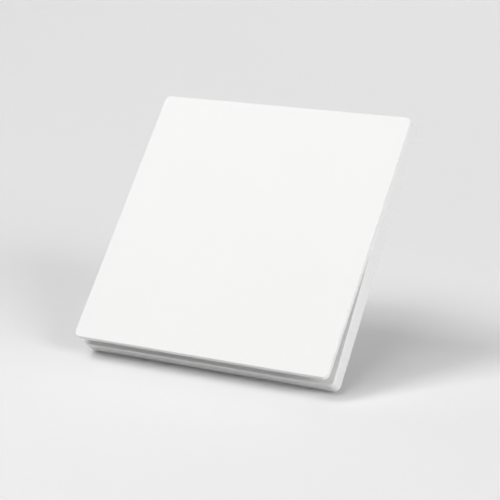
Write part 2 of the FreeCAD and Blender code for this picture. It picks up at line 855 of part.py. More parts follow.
def return_springs():
    """Two steel strips, pegged to the deck, that lean on the rocker's underside."""
    strips = []
    for x in (-spring_x, spring_x):
        left = x - spring_width / 2
        right = x + spring_width / 2
        back = deck_thickness
        front = deck_thickness + spring_strip
        section = Part.makePolygon([Vector(left, -back, spring_root), Vector(right, -back, spring_root),
                                    Vector(right, -front, spring_root), Vector(left, -front, spring_root),
                                    Vector(left, -back, spring_root)])
        strip = spring_path(x).makePipeShell([section], True, False)
        hole = disc(spring_peg_radius + spring_peg_gap, 0, front + over, x, spring_root - spring_foot / 2)
        strips.append(strip.cut(hole))
    return Part.makeCompound(strips)


def rubber_bumpers():
    """Four soft stops in their cups."""
    places = [(x, z) for x in (-stop_x, stop_x) for z in (-stop_z(), stop_z())]
    return Part.makeCompound([disc(stop_radius, stop_face() - stop_height, stop_face(), x, z)
                              for x, z in places])


def cover_screws():
    """Four countersunk screws with a cross recess, driven from behind."""
    screws = []
    for x, z in screw_places():
        head = Part.makeCone(screw_head_radius, screw_radius, screw_head_height,
                             Vector(x, -screw_sunk, z), TO_ROOM)
        screw = joined([head, disc(screw_radius, screw_sunk + screw_head_height / 2, screw_length, x, z)])
        long = screw_recess_length / 2
        narrow = screw_recess_width / 2
        for half_x, half_z in ((long, narrow), (narrow, long)):
            screw = screw.cut(block(x - half_x, x + half_x, z - half_z, z + half_z, 0,
                                    screw_sunk + screw_recess_depth))
        screws.append(screw)
    return Part.makeCompound(screws)


def adhesive_pads():
    """Two foam tapes in the pockets of the back."""
    return Part.makeCompound([round_block(tape_width / 2, tape_height / 2, 0, tape_thickness, tape_corner,
                                          0, z) for z in (-tape_centre, tape_centre)])


nodes = {
    "base_frame": base_frame(),
    "inner_cover": inner_cover(),
    "cover_screws": cover_screws(),
    "adhesive_pads": adhesive_pads(),
    "rubber_bumpers": rubber_bumpers(),
    "return_springs": return_springs(),
    "rocker": rocker(),
    "press_lever": press_lever(),
    "leaf_spring": leaf_spring(),
    "magnet_holder": magnet_holder(),
    "magnet": magnet(),
    "front_pole_plate": pole_plate(1),
    "rear_pole_plate": pole_plate(-1),
    "pivot_rod": pivot_rod(),
    "iron_core": iron_core(),
    "coil_bobbin": coil_bobbin(),
    "coil_winding": coil_winding(),
    "coil_terminals": coil_terminals(),
    "circuit_board": circuit_board(),
    "radio_chip": chip(board_left + radio_x, radio_z, radio_size, radio_size, radio_rise),
    "crystal": chip(board_left + crystal_x, radio_z, crystal_width, crystal_height, crystal_rise),
    "rectifier": rectifier(),
    "storage_capacitors": storage_capacitors(),
    "chip_capacitors": chip_capacitors(),
    "inductor": inductor(),
    "antenna": antenna(),
}

os.makedirs("parts", exist_ok=True)
for name, shape in nodes.items():
    shape.exportStep("parts/" + name + ".step")
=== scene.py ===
import math

import bpy
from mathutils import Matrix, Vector


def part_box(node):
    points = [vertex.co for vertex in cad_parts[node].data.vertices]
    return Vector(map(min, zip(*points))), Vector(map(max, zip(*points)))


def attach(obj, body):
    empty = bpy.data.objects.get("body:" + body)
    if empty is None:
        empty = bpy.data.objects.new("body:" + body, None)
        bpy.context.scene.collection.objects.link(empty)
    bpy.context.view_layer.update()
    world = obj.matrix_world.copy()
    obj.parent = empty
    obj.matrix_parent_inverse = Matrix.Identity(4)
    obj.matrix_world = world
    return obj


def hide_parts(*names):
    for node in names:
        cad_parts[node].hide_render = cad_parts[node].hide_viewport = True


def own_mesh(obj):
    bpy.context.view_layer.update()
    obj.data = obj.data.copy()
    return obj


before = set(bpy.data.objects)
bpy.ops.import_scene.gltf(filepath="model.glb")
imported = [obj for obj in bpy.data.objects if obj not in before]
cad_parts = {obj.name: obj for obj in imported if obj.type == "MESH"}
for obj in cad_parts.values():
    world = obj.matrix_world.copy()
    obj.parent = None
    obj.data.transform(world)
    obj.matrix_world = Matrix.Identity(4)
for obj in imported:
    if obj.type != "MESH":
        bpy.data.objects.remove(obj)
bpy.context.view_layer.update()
bpy.ops.object.select_all(action="DESELECT")


# The base: a square surround with a deck, bearings and a well for the mechanism, moulded in one piece.
# White ABS with a fine spark-eroded grain; the ejector pins leave shallow round marks on its back.


class Signal:
    """A shader socket. Arithmetic on it adds Math nodes to its graph."""

    def __init__(self, graph, socket):
        self.graph = graph
        self.socket = socket

    def combine(self, operation, first, second):
        return self.graph.node("ShaderNodeMath", {"operation": operation}, {0: first, 1: second})["Value"]

    def __add__(self, other):
        return self.combine("ADD", self, other)

    def __radd__(self, other):
        return self.combine("ADD", other, self)

    def __mul__(self, other):
        return self.combine("MULTIPLY", self, other)

    def __rmul__(self, other):
        return self.combine("MULTIPLY", other, self)

    def __gt__(self, other):
        return self.combine("GREATER_THAN", self, other)


class Node:
    """One shader node, whose outputs are read by name."""

    def __init__(self, graph, made):
        self.graph = graph
        self.made = made

    def __getitem__(self, output):
        return Signal(self.graph, self.made.outputs[output])


class Graph:
    """The nodes of a material, or of the world."""

    def __init__(self, tree):
        self.tree = tree

    def node(self, kind, settings=None, sockets=None):
        """Adds a node: its settings first, then the values or links of its sockets."""
        made = self.tree.nodes.new(kind)
        for key, value in (settings or {}).items():
            setattr(made, key, value)
        for key, value in (sockets or {}).items():
            self.feed(made.inputs[key], value)
        return Node(self, made)

    def feed(self, target, value):
        """Links a signal to a socket, or sets the socket's own value."""
        if isinstance(value, Signal):
            self.tree.links.new(value.socket, target)
        elif isinstance(value, tuple) and len(value) == 3 and target.type == "RGBA":
            target.default_value = (*value, 1.0)
        else:
            target.default_value = value


class Finish(Graph):
    """A procedural material on one Principled shader, with its fixed values set on the sockets."""

    def __init__(self, name, roughness=0.5, **fixed):
        self.material = bpy.data.materials.new(name)
        self.material.use_nodes = True
        super().__init__(self.material.node_tree)
        self.shader = self.tree.nodes["Principled BSDF"]
        self.shader.inputs["Roughness"].default_value = roughness
        for socket, value in fixed.items():
            self.shader.inputs[socket.replace("_", " ")].default_value = value
        self.place = self.node("ShaderNodeTexCoord")["Object"]

    def noise(self, scale, detail=2.0, seed=0.0, stretch=(1.0, 1.0, 1.0)):
        """Soft cloudy noise from 0 to 1, in waves per metre, drawn out where stretch is small."""
        moved = self.node("ShaderNodeMapping", {}, {"Vector": self.place, "Location": (seed, seed, seed),
                                                    "Scale": stretch})
        return self.node("ShaderNodeTexNoise", {}, {"Vector": moved["Vector"], "Scale": scale,
                                                    "Detail": detail})["Fac"]

    def along(self, axis):
        """The place along one axis, in metres."""
        return self.node("ShaderNodeSeparateXYZ", {}, {"Vector": self.place})[axis]

    def blend(self, share, first, second):
        """A colour between two colours."""
        mix = self.node("ShaderNodeMix", {"data_type": "RGBA"})
        self.feed(mix.made.inputs[0], share)
        self.feed(mix.made.inputs[6], first)
        self.feed(mix.made.inputs[7], second)
        return Signal(self, mix.made.outputs[2])

    def colour(self, value):
        self.feed(self.shader.inputs["Base Color"], value)

    def roughness(self, value):
        self.feed(self.shader.inputs["Roughness"], value)

    def bump(self, height, depth):
        """Raises the surface by a height signal, in metres at full height."""
        bumped = self.node("ShaderNodeBump", {}, {"Height": height, "Distance": depth, "Strength": 1.0})
        self.feed(self.shader.inputs["Normal"], bumped["Normal"])


def moulded(name, pale, deep, grain=0.000008, roughness=0.42, wave=5200.0):
    """Injection-moulded plastic: fine grain, faint flow clouds and a satin sheen."""
    finish = Finish(name)
    clouds = finish.noise(38.0, detail=2.0, seed=3.1)
    finish.colour(finish.blend(clouds, pale, deep))
    fine = finish.noise(wave, detail=2.0, seed=1.7)
    coarse = finish.noise(wave * 0.3, detail=1.0, seed=5.2)
    finish.roughness(roughness + 0.10 * fine + 0.05 * clouds)
    finish.bump(fine * 0.7 + coarse * 0.3, grain)
    return finish.material


def only(piece):
    """Selects one piece alone and makes it active."""
    bpy.ops.object.select_all(action="DESELECT")
    piece.select_set(True)
    bpy.context.view_layer.objects.active = piece


def modify(piece, kind, **settings):
    """Adds a modifier and applies it."""
    only(piece)
    modifier = piece.modifiers.new(kind.lower(), kind)
    for key, value in settings.items():
        setattr(modifier, key, value)
    bpy.ops.object.modifier_apply(modifier=modifier.name)


def joined(pieces):
    """One piece from several, with its place in its mesh."""
    bpy.ops.object.select_all(action="DESELECT")
    for piece in pieces:
        piece.select_set(True)
    bpy.context.view_layer.objects.active = pieces[0]
    bpy.ops.object.transform_apply(location=True, rotation=True, scale=True)
    if len(pieces) > 1:
        bpy.ops.object.join()
    return bpy.context.object


def settle(piece, name, material, body, slot, *nodes):
    """Names a finished piece, ties it to its body and hides the CAD nodes that it stands for."""
    piece = joined([piece])
    piece.name = name
    piece.data.name = name
    if material is not None:
        piece.data.materials.clear()
        piece.data.materials.append(material)
    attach(piece, body)
    if nodes:
        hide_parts(*nodes)
    return piece


def from_frame(node):
    """A welded copy of a CAD piece, its flat faces made whole, shaded smooth over its rounded edges."""
    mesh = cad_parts[node].data.copy()
    piece = bpy.data.objects.new(node + "_copy", mesh)
    bpy.context.scene.collection.objects.link(piece)
    only(piece)
    bpy.ops.object.mode_set(mode="EDIT")
    bpy.ops.mesh.select_all(action="SELECT")
    bpy.ops.mesh.remove_doubles(threshold=2e-6)
    bpy.ops.mesh.dissolve_limited(angle_limit=math.radians(0.5))
    bpy.ops.object.mode_set(mode="OBJECT")
    smooth(piece)
    return piece


def smooth(piece, up_to=35.0):
    """Shades a piece smooth, apart from its sharp edges, with flat faces kept flat."""
    only(piece)
    bpy.ops.object.shade_smooth_by_angle(angle=math.radians(up_to))
    modify(piece, "WEIGHTED_NORMAL", keep_sharp=True, weight=100)


def rod(radius, back, front, x, z, sides=48):
    """A round solid that stands out from the wall between two depths."""
    bpy.ops.mesh.primitive_cylinder_add(vertices=sides, radius=radius, depth=front - back,
                                        location=(x, -(back + front) / 2, z),
                                        rotation=(math.pi / 2, 0.0, 0.0))
    return bpy.context.object


def cut(piece, cutters):
    """Takes the cutters' shape out of a piece."""
    cutter = joined(cutters)
    modify(piece, "BOOLEAN", operation="DIFFERENCE", solver="EXACT", object=cutter)
    bpy.data.objects.remove(cutter)


base_white = moulded("base_white", (0.845, 0.845, 0.842), (0.835, 0.835, 0.832))
ejector_radius = 0.002
ejector_depth = 0.00012
ejector_places = ((0.036, 0.026), (0.015, 0.012))
behind_wall = -0.001
base = from_frame("base_frame")
marks = [(side * across, row * up) for across, up in ejector_places for side in (-1, 1) for row in (-1, 1)]
cut(base, [rod(ejector_radius, behind_wall, ejector_depth, x, z, 40) for x, z in marks])
smooth(base)
settle(base, "base_moulding", base_white, "base", "base_white", "base_frame")


# The soft stops: four silicone dots, cast with a rounded face and glued into their cups.
# The rocker's rib ring comes down on them at the end of its travel.


def repeated(piece, places):
    """Copies of a finished piece, each with a mesh of its own, moved across and up from the first one."""
    copies = [piece]
    for across, up in places:
        copy = piece.copy()
        copy.data = piece.data.copy()
        bpy.context.scene.collection.objects.link(copy)
        copy.location = (across, 0.0, up)
        copies.append(copy)
    return copies


def soften(piece, width, segments=2):
    """Rounds the sharp edges of a piece and shades it smooth."""
    modify(piece, "BEVEL", width=width, segments=segments, limit_method="ANGLE",
           angle_limit=math.radians(40.0), use_clamp_overlap=True)
    smooth(piece)


silicone = Finish("silicone", Sheen_Weight=0.2)
silicone_clouds = silicone.noise(900.0, detail=3.0, seed=4.0)
silicone.colour(silicone.blend(silicone_clouds, (0.060, 0.060, 0.064), (0.085, 0.085, 0.088)))
silicone.roughness(0.55 + 0.15 * silicone_clouds)
silicone.bump(silicone.noise(3800.0, detail=2.0, seed=2.0), 0.000006)

low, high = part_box("rubber_bumpers")
dot_radius = 0.0015
dot = joined([rod(dot_radius, -high.y, -low.y, low.x + dot_radius, low.z + dot_radius, 40)])
soften(dot, width=0.00022, segments=4)
across = high.x - low.x - 2 * dot_radius
up = high.z - low.z - 2 * dot_radius
dots = repeated(dot, [(0.0, up), (across, 0.0), (across, up)])
settle(joined(dots), "silicone_stops", silicone.material, "base", "silicone", "rubber_bumpers")


# The return springs: two strips of hard stainless sheet, blanked, bent and pushed over pegs of the deck.
# They lean on the rocker's underside and flatten as it is pressed.


def rolled(name, pale, dark, roughness, stretch, wave=2600.0, depth=0.000004):
    """Sheet or bar metal with fine lines along its rolling direction and dull patches."""
    finish = Finish(name, Metallic=1.0)
    lines = finish.noise(wave, detail=3.0, seed=2.3, stretch=stretch)
    patches = finish.noise(260.0, detail=3.0, seed=6.1)
    finish.colour(finish.blend(lines * 0.6 + patches * 0.4, pale, dark))
    finish.roughness(roughness + 0.16 * lines + 0.10 * patches)
    finish.bump(lines, depth)
    return finish.material


def edged(node, width, segments=2):
    """A welded copy of a CAD piece with its sharp edges rounded."""
    piece = from_frame(node)
    soften(piece, width, segments)
    return piece


spring_steel = rolled("spring_steel", (0.62, 0.61, 0.59), (0.50, 0.49, 0.48),
                      roughness=0.24, stretch=(1.0, 0.06, 0.06))
springs = edged("return_springs", width=0.00004)
settle(springs, "return_spring_strips", spring_steel, "base", "spring_steel", "return_springs")
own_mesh(springs)


# The generator's core: a U stamped from soft iron sheet, dull grey from its annealing.
# It rests on two posts of the well's floor, with its tips between the pole plates.

soft_iron = rolled("soft_iron", (0.40, 0.39, 0.38), (0.26, 0.255, 0.25),
                   roughness=0.42, stretch=(0.2, 1.0, 1.0), wave=1800.0, depth=0.000006)
settle(edged("iron_core", width=0.00005), "iron_core_stamping", soft_iron, "base", "soft_iron", "iron_core")


# The bobbin: a spool of black glass-filled nylon on the core's upper leg, and on it the winding,
# enamelled copper wire laid turn beside turn over the layers beneath.

glass_filled = moulded("bobbin_plastic", (0.035, 0.035, 0.038), (0.055, 0.055, 0.058),
                       grain=0.000014, roughness=0.46, wave=3600.0)
coil_bobbin = edged("coil_bobbin", width=0.00006)
settle(coil_bobbin, "bobbin_moulding", glass_filled, "base", "bobbin_plastic", "coil_bobbin")

wire_radius = 0.00008
enamel = Finish("copper_wire", Metallic=1.0, Coat_Weight=0.7, Coat_Roughness=0.12)
enamel_tone = enamel.noise(420.0, detail=3.0, seed=1.0)
enamel.colour(enamel.blend(enamel_tone, (0.62, 0.235, 0.085), (0.47, 0.155, 0.050)))
enamel.roughness(0.26 + 0.14 * enamel_tone)
enamel.bump(enamel.noise(5200.0, detail=1.0, seed=3.0), 0.000003)

low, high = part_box("coil_winding")
middle = (low + high) / 2
half_up = (high.z - low.z) / 2 - wire_radius
half_out = (high.y - low.y) / 2 - wire_radius
corner_radius = 0.0009
turns = int((high.x - low.x) / (2 * wire_radius)) - 1


def on_turn(share):
    """A point of one turn's rounded rectangle, from 0 to 1 round it."""
    straight_up = 2 * (half_up - corner_radius)
    straight_out = 2 * (half_out - corner_radius)
    bend = math.pi / 2 * corner_radius
    left = share * (2 * straight_up + 2 * straight_out + 4 * bend)
    out, up, turn = half_out, -(half_up - corner_radius), 0.0
    for run in (straight_up, straight_out, straight_up, straight_out):
        step = min(left, run)
        out -= step * math.sin(turn)
        up += step * math.cos(turn)
        left -= step
        if left <= 0:
            break
        step = min(left, bend)
        angle = step / corner_radius
        out += corner_radius * (math.cos(turn + angle) - math.cos(turn))
        up += corner_radius * (math.sin(turn + angle) - math.sin(turn))
        left -= step
        turn += angle
        if left <= 0:
            break
    return out, up


points_each = 28
winding = bpy.data.curves.new("winding_wire", "CURVE")
winding.dimensions = "3D"
winding.bevel_depth = wire_radius
winding.bevel_resolution = 1
winding.use_fill_caps = True
path = winding.splines.new("POLY")
path.points.add(turns * points_each)
for number in range(turns * points_each + 1):
    out, up = on_turn((number % points_each) / points_each)
    x = low.x + wire_radius + (high.x - low.x - 2 * wire_radius) * number / (turns * points_each)
    path.points[number].co = (x, middle.y - out, middle.z + up, 1.0)
wire = bpy.data.objects.new("winding_wire", winding)
bpy.context.scene.collection.objects.link(wire)
only(wire)
bpy.ops.object.convert(target="MESH")
bpy.ops.object.shade_smooth()
layers_share = (0.985, 0.94, 0.97)
layers = from_frame("coil_winding")
bpy.ops.transform.resize(value=layers_share, center_override=tuple(middle))
settle(joined([wire, layers]), "coil_turns", enamel.material, "base", "copper_wire", "coil_winding")


# The coil's two terminals: square pins of tinned brass pressed into the bobbin's flanges, with the
# wire's end wrapped round each root and a bead of solder where the pin meets the board.


def pick(piece, test):
    """Selects the faces that a test accepts and leaves the piece in edit mode."""
    only(piece)
    bpy.ops.object.mode_set(mode="EDIT")
    bpy.ops.mesh.select_mode(type="FACE")
    bpy.ops.mesh.select_all(action="DESELECT")
    bpy.ops.object.mode_set(mode="OBJECT")
    for face in piece.data.polygons:
        face.select = test(face)
    bpy.ops.object.mode_set(mode="EDIT")


tin = rolled("tinned_pin", (0.74, 0.73, 0.71), (0.60, 0.59, 0.58),
             roughness=0.22, stretch=(1.0, 1.0, 1.0), wave=1500.0, depth=0.000005)
low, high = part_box("coil_terminals")
board_front = -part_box("circuit_board")[0].y
pin_half = (high.y - low.y) / 2
first_x = low.x + pin_half
bead_radius = 0.00062
bead_inset = 0.0004
tolerance = 0.00001
bpy.ops.mesh.primitive_uv_sphere_add(segments=24, ring_count=12, radius=bead_radius,
                                     location=(first_x, -board_front, high.z - bead_inset))
bead = bpy.context.object
bead.scale = (1.0, 0.75, 0.85)
joined([bead])
pick(bead, lambda face: face.center.y > -board_front + tolerance)
bpy.ops.mesh.delete(type="FACE")
bpy.ops.mesh.select_all(action="SELECT")
bpy.ops.mesh.select_mode(type="EDGE")
bpy.ops.mesh.region_to_loop()
bpy.ops.mesh.edge_face_add()
bpy.ops.object.mode_set(mode="OBJECT")
smooth(bead)
wrap_pitch = 0.00018
wrap_radius = 0.00037
first_wrap = low.z + 0.0002
bpy.ops.mesh.primitive_torus_add(major_segments=20, minor_segments=8, major_radius=wrap_radius,
                                 minor_radius=wire_radius,
                                 location=(first_x, (low.y + high.y) / 2, first_wrap))
loop = joined([bpy.context.object])
bpy.ops.object.shade_smooth()
root = joined([bead] + repeated(loop, [(0.0, wrap_pitch), (0.0, 2 * wrap_pitch)]))
pins = [edged("coil_terminals", width=0.00006)] + repeated(root, [(high.x - low.x - 2 * pin_half, 0.0)])
settle(joined(pins), "terminal_pins", tin, "base", "tinned_pin", "coil_terminals")


# The pivot rod: turned brass, parted off with a small chamfer at both ends and pressed into the bobbin.
# The pole plates rock on it.

brass = Finish("brass_rod", Metallic=1.0)
rings = brass.noise(3000.0, detail=2.0, seed=2.0, stretch=(1.0, 0.02, 0.02))
brass.colour(brass.blend(rings, (0.78, 0.57, 0.24), (0.62, 0.43, 0.16)))
brass.roughness(0.20 + 0.18 * rings)
brass.bump(rings, 0.000003)
low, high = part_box("pivot_rod")
bpy.ops.mesh.primitive_cylinder_add(vertices=56, radius=(high.z - low.z) / 2, depth=high.x - low.x,
                                    location=tuple((low + high) / 2), rotation=(0.0, math.pi / 2, 0.0))
turned_rod = bpy.context.object
soften(turned_rod, width=0.00012, segments=3)
settle(turned_rod, "turned_pivot_rod", brass.material, "base", "brass_rod", "pivot_rod")


# The armature: two soft iron pole plates on a nickel-plated magnet, clasped by a nylon carrier,
# with a leaf of spring steel that the press lever bends. It rocks as one piece on the rod.

nickel = rolled("nickel", (0.74, 0.72, 0.68), (0.60, 0.58, 0.55),
                roughness=0.14, stretch=(1.0, 1.0, 1.0), wave=900.0, depth=0.000002)
nylon = moulded("lever_plastic", (0.030, 0.031, 0.034), (0.044, 0.045, 0.049),
                grain=0.000012, roughness=0.40, wave=4200.0)
settle(edged("magnet", width=0.00012, segments=3), "plated_magnet", nickel, "armature", "nickel", "magnet")
settle(edged("front_pole_plate", width=0.00005), "front_pole_stamping", soft_iron, "armature", "soft_iron",
       "front_pole_plate")
settle(edged("rear_pole_plate", width=0.00005), "rear_pole_stamping", soft_iron, "armature", "soft_iron",
       "rear_pole_plate")
magnet_holder = edged("magnet_holder", width=0.00008)
settle(magnet_holder, "magnet_carrier", nylon, "armature", "lever_plastic", "magnet_holder")
leaf_spring = edged("leaf_spring", width=0.00003)
settle(leaf_spring, "steel_leaf", spring_steel, "armature", "spring_steel", "leaf_spring")


# The circuit board: glass-epoxy laminate under green solder mask, on four moulded pegs.
# Its copper shows as raised tracks under the mask, and as tinned pads and rings where parts are soldered.

mask = Finish("board_green", Coat_Weight=0.35, Coat_Roughness=0.18)
upright_threads = mask.noise(1500.0, detail=2.0, seed=1.0, stretch=(1.0, 1.0, 0.25))
level_threads = mask.noise(1500.0, detail=2.0, seed=7.0, stretch=(0.25, 1.0, 1.0))
weave = upright_threads * 0.5 + level_threads * 0.5
mask.colour(mask.blend(weave, (0.012, 0.105, 0.038), (0.020, 0.150, 0.058)))
mask.roughness(0.32 + 0.12 * weave)
mask.bump(weave, 0.000004)


def slab(left, right, bottom, top, back, front):
    """A box between two depths in front of the wall."""
    bpy.ops.mesh.primitive_cube_add(size=1.0, location=((left + right) / 2, -(back + front) / 2,
                                                        (bottom + top) / 2))
    piece = bpy.context.object
    piece.scale = (right - left, front - back, top - bottom)
    return joined([piece])


board = edged("circuit_board", width=0.00004)
copper_sunk = 0.00002
track_rise = 0.000035
track_width = 0.00022
low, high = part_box("circuit_board")
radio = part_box("radio_chip")
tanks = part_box("storage_capacitors")
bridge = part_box("rectifier")
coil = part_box("inductor")
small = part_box("chip_capacitors")
sheet_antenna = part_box("antenna")
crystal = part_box("crystal")
tracks = []


def track(*corners):
    """A raised copper track through a row of corners, each given across and up."""
    half = track_width / 2
    for (x0, z0), (x1, z1) in zip(corners, corners[1:]):
        tracks.append(slab(min(x0, x1) - half, max(x0, x1) + half, min(z0, z1) - half, max(z0, z1) + half,
                           board_front - copper_sunk, board_front + track_rise))


lane = 0.0005
close_lane = 0.00034
supply_inset = 0.0004
above_chips = 0.0002
for number in range(2):
    x = radio[1].x - supply_inset - number * lane
    z = small[1].z + above_chips + number * close_lane
    track((x, radio[0].z), (x, z), (bridge[0].x - supply_inset - number * lane, z))
peg_room = 0.0034
edge_room = 0.0006
for number in range(4):
    z = low.z + edge_room + number * lane
    track((low.x + peg_room, z), (high.x - peg_room, z))
below_radio_top = 0.0008
inductor_gap = 0.0006
for number in range(3):
    z = radio[1].z - below_radio_top - number * lane
    track((radio[1].x, z), (coil[0].x - inductor_gap - number * lane, z))
feed_x = sheet_antenna[0].x + 0.0002
track((feed_x, sheet_antenna[0].z), (feed_x, crystal[1].z))
crystal_inset = 0.0006
for z in (crystal[0].z + crystal_inset, crystal[1].z - crystal_inset):
    track((crystal[1].x, z), (radio[0].x, z))
settle(joined([board] + tracks), "solder_masked_board", mask.material, "base", "board_green",
       "circuit_board")

pads = []
pad_rise = 0.00005


def pad(width, height, across, up):
    """Tinned pads of one size, under a component's ends, at each place across and up."""
    places = [(x, z) for x in across for z in up]
    first_x, first_z = places[0]
    piece = slab(first_x - width / 2, first_x + width / 2, first_z - height / 2, first_z + height / 2,
                 board_front - copper_sunk, board_front + pad_rise)
    soften(piece, width=0.00002)
    pads.extend(repeated(piece, [(x - first_x, z - first_z) for x, z in places[1:]]))


block_width = 0.0043
lead_inset = 0.001
drum_pad_inset = 0.0007
chip_count = 6
chip_width = 0.0006
chip_step = (small[1].x - small[0].x - chip_width) / (chip_count - 1)
pad(width=0.0026, height=0.0012, across=[tanks[0].x + block_width / 2, tanks[1].x - block_width / 2],
    up=[tanks[0].z, tanks[1].z])
pad(width=0.0010, height=0.0009, across=[bridge[0].x + lead_inset, bridge[1].x - lead_inset],
    up=[bridge[0].z, bridge[1].z])
pad(width=0.0016, height=0.0036, across=[coil[0].x + drum_pad_inset, coil[1].x - drum_pad_inset],
    up=[(coil[0].z + coil[1].z) / 2])
pad(width=0.0007, height=0.0004,
    across=[small[0].x + chip_width / 2 + number * chip_step for number in range(chip_count)],
    up=[small[0].z, small[1].z])
feed_pad_x = sheet_antenna[0].x + 0.00025
feed_pad_z = sheet_antenna[0].z + 0.0003
pad(width=0.0008, height=0.0009, across=[feed_pad_x], up=[feed_pad_z])
via_radius = 0.00024
via_rim = 0.00007
via_count = 14
via_step = 0.0024
via_stagger = 0.0001
first_via_x = low.x + 0.0052
first_via_z = low.z + 0.0030
bpy.ops.mesh.primitive_torus_add(major_segments=20, minor_segments=6, major_radius=via_radius,
                                 minor_radius=via_rim, rotation=(math.pi / 2, 0.0, 0.0),
                                 location=(first_via_x, -board_front, first_via_z))
ring = bpy.context.object
ring.scale = (1.0, 1.0, 0.45)
ring = joined([ring])
bpy.ops.object.shade_smooth()
pads += repeated(ring, [(number * via_step, -via_stagger * (number % 3)) for number in range(1, via_count)])
settle(joined(pads), "board_pads", tin, "base", "tinned_pin")


# The radio chip: a flat leadless package, moulded in black epoxy, with a dimple by its first contact.
# Rows of tinned contacts along its four sides are soldered to the board.


def dimple(radius, face, x, z):
    """A cutter for the round mark in a moulded package's face."""
    depth = 0.00006
    room = 0.0002
    return rod(radius, face - depth, face + room, x, z, 32)


epoxy = moulded("chip_black", (0.022, 0.022, 0.024), (0.032, 0.032, 0.034),
                grain=0.000010, roughness=0.50, wave=5200.0)
low, high = radio
middle = (low + high) / 2
back, front = -high.y, -low.y
contact_proud = 0.00003
package = slab(low.x + contact_proud, high.x - contact_proud, low.z + contact_proud, high.z - contact_proud,
               back, front)
soften(package, width=0.00009)
mark_radius = 0.00028
mark_inset = 0.0007
cut(package, [dimple(mark_radius, face=front, x=low.x + mark_inset, z=high.z - mark_inset)])
smooth(package)
package.data.materials.append(epoxy)
contacts = []
contact_count = 8
contact_pitch = 0.0005
contact_half = 0.00012
contact_reach = 0.0003
contact_rise = 0.0002
first = -(contact_count - 1) / 2 * contact_pitch
steps = [number * contact_pitch for number in range(1, contact_count)]
for side in (-1, 1):
    edge = middle.x + side * (high.x - low.x) / 2
    ends = sorted((edge, edge - side * contact_reach))
    start = middle.z + first
    upright = slab(*ends, start - contact_half, start + contact_half, back, back + contact_rise)
    contacts += repeated(upright, [(0.0, step) for step in steps])
    edge = middle.z + side * (high.z - low.z) / 2
    ends = sorted((edge, edge - side * contact_reach))
    start = middle.x + first
    level = slab(start - contact_half, start + contact_half, *ends, back, back + contact_rise)
    contacts += repeated(level, [(step, 0.0) for step in steps])
contact_row = joined(contacts)
contact_row.data.materials.append(tin)
settle(joined([package, contact_row]), "radio_package", None, "base", "chip_black", "radio_chip")


# The crystal: a small ceramic tray, soldered flat on the board beside the radio chip.
# Its lid is pressed from sheet metal and seam-welded round the rim.


def facing_room(face):
    """Whether a face looks straight out from the wall."""
    return face.normal.y < -0.9


low, high = crystal
back, front = -high.y, -low.y
tray_share = 0.62
tray_front = back + (high.y - low.y) * tray_share
lid_inset = 0.00018
lid_lap = 0.00005
lid_rim = 0.00022
lid_sunk = 0.00006
ceramic = moulded("crystal_tray", (0.10, 0.095, 0.09), (0.14, 0.13, 0.12),
                  grain=0.000008, roughness=0.55, wave=3000.0)
tray = slab(low.x, high.x, low.z, high.z, back, tray_front)
soften(tray, width=0.00010, segments=2)
tray.data.materials.append(ceramic)
lid = slab(low.x + lid_inset, high.x - lid_inset, low.z + lid_inset, high.z - lid_inset,
           tray_front - lid_lap, front)
pick(lid, facing_room)
bpy.ops.mesh.inset(thickness=lid_rim)
bpy.ops.transform.translate(value=(0.0, lid_sunk, 0.0))
bpy.ops.object.mode_set(mode="OBJECT")
soften(lid, width=0.00007, segments=3)
lid.data.materials.append(tin)
settle(joined([tray, lid]), "crystal_can", None, "base", "tinned_pin", "crystal")


# The bridge rectifier: a body moulded in black epoxy, with drafted sides, and four gull-wing leads
# bent from tinned sheet and soldered to the board.

low, high = bridge
back, front = -high.y, -low.y
lead_width = 0.0007
lead_sheet = 0.00022
lead_reach = 0.0009
body_low = low.z + lead_reach
body_high = high.z - lead_reach
body_draft = (0.93, 1.0, 0.88)
body = slab(low.x, high.x, body_low, body_high, back, front)
pick(body, facing_room)
bpy.ops.transform.resize(value=body_draft)
bpy.ops.object.mode_set(mode="OBJECT")
soften(body, width=0.00010)
cut(body, [dimple(radius=0.00032, face=front, x=low.x + 0.0009, z=body_high - 0.0008)])
smooth(body)
body.data.materials.append(epoxy)
leads = []
knee = (back + front) / 2
left = low.x + lead_inset - lead_width / 2
right = left + lead_width
root_lap = 0.0002
shoulder = 0.00055
for side, root, tip in ((-1, body_low + root_lap, low.z), (1, body_high - root_lap, high.z)):
    bend = root + side * shoulder
    sheet = bend - side * lead_sheet
    lead = joined([slab(left, right, min(z0, z1), max(z0, z1), inner, outer)
                   for z0, z1, inner, outer in ((root, bend, knee, knee + lead_sheet),
                                                (sheet, bend, back, knee + lead_sheet),
                                                (sheet, tip, back, back + lead_sheet))])
    soften(lead, width=0.00004)
    leads += repeated(lead, [(high.x - low.x - 2 * lead_inset, 0.0)])
lead_set = joined(leads)
lead_set.data.materials.append(tin)
settle(joined([body, lead_set]), "bridge_rectifier", None, "base", "chip_black", "rectifier")


# The storage capacitors: two moulded tantalum blocks, with a darker band at the positive end.
# Tinned tabs folded under both ends are soldered to the board.

